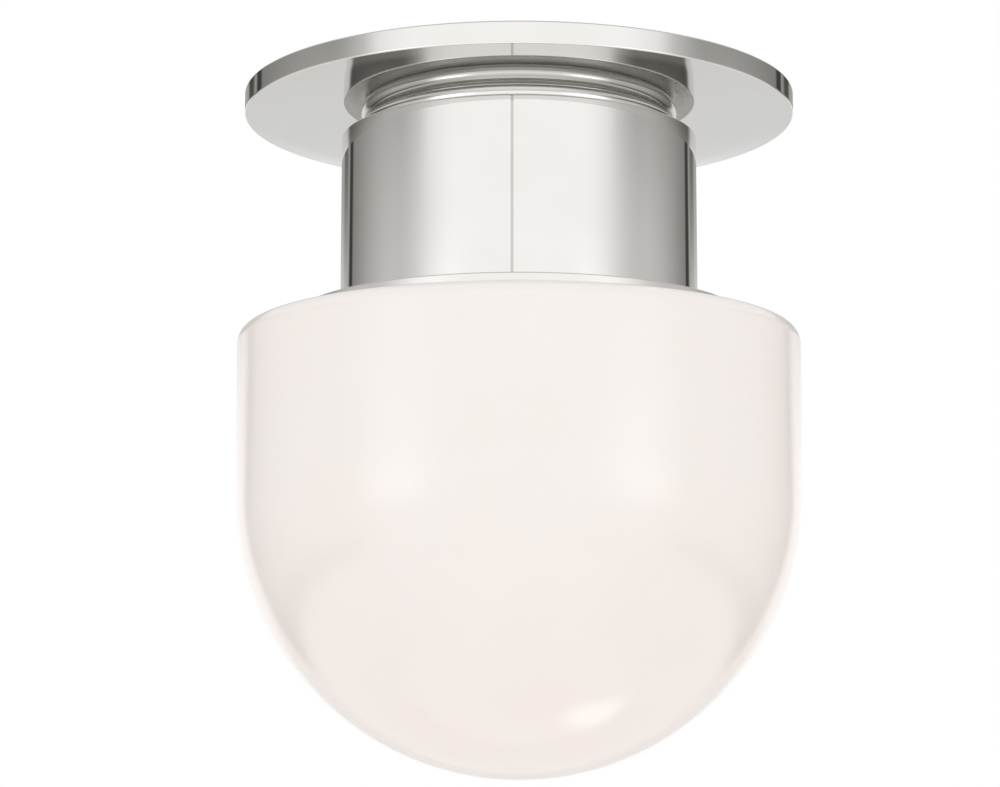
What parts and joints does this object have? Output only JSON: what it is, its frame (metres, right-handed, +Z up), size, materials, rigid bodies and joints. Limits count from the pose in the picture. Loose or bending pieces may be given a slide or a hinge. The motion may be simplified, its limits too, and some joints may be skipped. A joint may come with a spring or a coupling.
{
  "type": "flush mount ceiling light",
  "caption": "Flush mount ceiling light: flat round canopy, short polished sleeve and a half-ball opal glass shade on a threaded neck.",
  "frame": {"origin": "on the light's axis in the ceiling plane, at the middle of the crossbar's two box slots, on the bar's lower face", "axes": "+Z up into the ceiling, -Y towards the front, X along the crossbar"},
  "size_m": [0.142, 0.142, 0.1855],
  "materials": {
    "polished_nickel": "polished, mirror bright",
    "opal_glass": "glossy opal white",
    "silicone": "matte",
    "turned_aluminium": "turned",
    "zinc_steel": "bright zinc plated",
    "nickel_brass": "nickel plated",
    "brass_cap": "spun, lacquered",
    "porcelain": "glazed",
    "green_screw": "green passivated",
    "nylon": "moulded",
    "solder": "dull solder",
    "black_glass": "glossy",
    "white_plastic": "moulded, satin",
    "circuit_board": "solder mask",
    "frosted_plastic": "frosted",
    "black_wire": "extruded insulation",
    "white_wire": "extruded insulation",
    "connector_plastic": "moulded"
  },
  "bodies": {
    "fixture": {"canopy": "polished_nickel", "neck_bead": "polished_nickel", "sleeve": "polished_nickel", "top_plate": "polished_nickel", "flange": "polished_nickel", "shade_collar": "turned_aluminium", "crossbar": "zinc_steel", "mounting_studs": "zinc_steel", "stud_locknuts": "zinc_steel", "stud_washers": "zinc_steel", "nipple": "zinc_steel", "nipple_nuts": "zinc_steel", "cap_nuts": "nickel_brass", "terminal_screws": "nickel_brass", "centre_contact": "nickel_brass", "screw_shell": "nickel_brass", "holder_cap": "brass_cap", "holder_body": "porcelain", "ground_screw": "green_screw", "wire_bushing": "nylon", "lead_live": "black_wire", "lead_neutral": "white_wire", "wire_connectors": "connector_plastic"},
    "seal": {"shade_gasket": "silicone"},
    "shade": {"glass_shade": "opal_glass"},
    "lamp_tip": {"tip_contact": "solder", "cap_insulator": "black_glass"},
    "lamp": {"lamp_cap": "nickel_brass", "lamp_housing": "white_plastic", "led_board": "circuit_board", "lamp_diffuser": "frosted_plastic"}
  },
  "joints": [
    {"name": "shade_drop", "type": "slide", "parent": "fixture", "child": "seal", "axis": [0, 0, -1], "range_m": [0, 0.006]},
    {"name": "shade_turn", "type": "hinge", "parent": "seal", "child": "shade", "pos_m": [0, 0, 0], "axis": [0, 0, -1], "range_deg": [0, 540]},
    {"name": "lamp_drop", "type": "slide", "parent": "fixture", "child": "lamp_tip", "axis": [0, 0, -1], "range_m": [0, 0.01452]},
    {"name": "lamp_turn", "type": "hinge", "parent": "lamp_tip", "child": "lamp", "pos_m": [0, 0, 0], "axis": [0, 0, -1], "range_deg": [0, 1440]}
  ],
  "couplings": [
    {"joint": "shade_drop", "follows": "shade_turn", "m_per_rad": 0.00063662},
    {"joint": "lamp_drop", "follows": "lamp_turn", "m_per_rad": 0.00057757}
  ]
}
